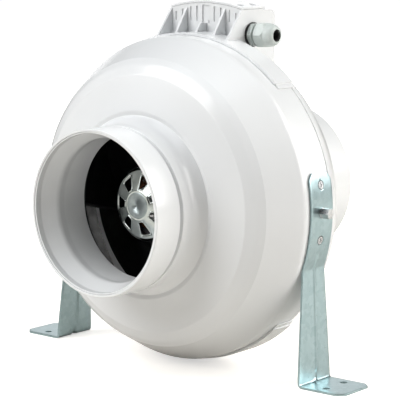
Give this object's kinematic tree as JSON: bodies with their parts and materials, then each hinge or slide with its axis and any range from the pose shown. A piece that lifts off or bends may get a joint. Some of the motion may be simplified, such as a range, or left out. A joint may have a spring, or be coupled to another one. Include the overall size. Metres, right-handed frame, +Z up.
{
  "type": "inline duct fan",
  "caption": "Inline centrifugal fan for round duct, with a bulged two-shell plastic casing, a spigot at each end, a terminal box with cable gland on top and two sheet-steel feet.",
  "frame": {"origin": "middle of the footprint, on the surface that the feet stand on", "axes": "+Y along the duct in the direction of the air, from inlet to outlet; +X to the right seen from the inlet, the side with the cable gland; +Z up"},
  "size_m": [0.386, 0.288, 0.3345],
  "materials": {
    "white_plastic": "glossy injection-moulded white plastic",
    "black_plastic": "satin black glass-filled plastic",
    "zinc_sheet": "galvanised sheet steel with a faint spangle",
    "zinc_fastener": "bright zinc plating",
    "motor_cap": "bright stamped steel",
    "motor_steel": "black painted steel",
    "lamination": "stacked silicon steel",
    "bare_steel": "ground steel",
    "die_cast": "die-cast aluminium",
    "copper": "enamelled copper windings",
    "gland_plastic": "light greenish grey polyamide",
    "rubber": "matt black rubber",
    "terminal_plastic": "cream polyamide",
    "capacitor_case": "pale grey plastic case",
    "lead_sheath": "dark grey PVC sheath"
  },
  "bodies": {
    "casing": {"front_casing": "white_plastic", "rear_casing": "white_plastic", "casing_seal": "rubber", "inlet_nozzle": "white_plastic", "motor_support": "black_plastic", "motor_flange": "die_cast", "stator_core": "lamination", "stator_windings": "copper", "motor_screws": "zinc_fastener", "bearing_outer_races": "bare_steel", "lid_gasket": "rubber", "terminal_block": "terminal_plastic", "terminal_screws": "zinc_fastener", "capacitor": "capacitor_case", "capacitor_clip": "zinc_sheet", "lead_grommet": "rubber", "motor_lead": "lead_sheath", "gland_washer": "rubber", "gland_body": "gland_plastic", "gland_locknut": "gland_plastic", "gland_seal": "rubber", "right_foot": "zinc_sheet", "left_foot": "zinc_sheet", "foot_bolts": "zinc_fastener", "foot_washers": "zinc_fastener", "foot_nuts": "zinc_fastener", "casing_screws": "zinc_fastener"},
    "impeller": {"bearing_inner_races": "bare_steel", "bearing_balls": "bare_steel", "shaft": "bare_steel", "circlip": "bare_steel", "rotor_cup": "motor_steel", "rotor_core": "lamination", "rotor_end_cap": "motor_cap", "boss_disc": "motor_cap", "impeller_hub": "black_plastic", "impeller_shroud": "black_plastic"},
    "lid": {"box_lid": "white_plastic", "lid_screws": "zinc_fastener"},
    "gland_nut": {"gland_nut": "gland_plastic"}
  },
  "joints": [
    {"name": "impeller_spin", "type": "hinge", "parent": "casing", "child": "impeller", "pos_m": [0, 0, 0.154], "axis": [0, 1, 0], "continuous": true},
    {"name": "lid_lift", "type": "slide", "parent": "casing", "child": "lid", "axis": [0, 0, 1], "range_m": [0, 0.05]},
    {"name": "gland_nut_turn", "type": "hinge", "parent": "casing", "child": "gland_nut", "pos_m": [0.06, 0.0267, 0.304], "axis": [1, 0, 0], "range_deg": [-180, 180]}
  ]
}
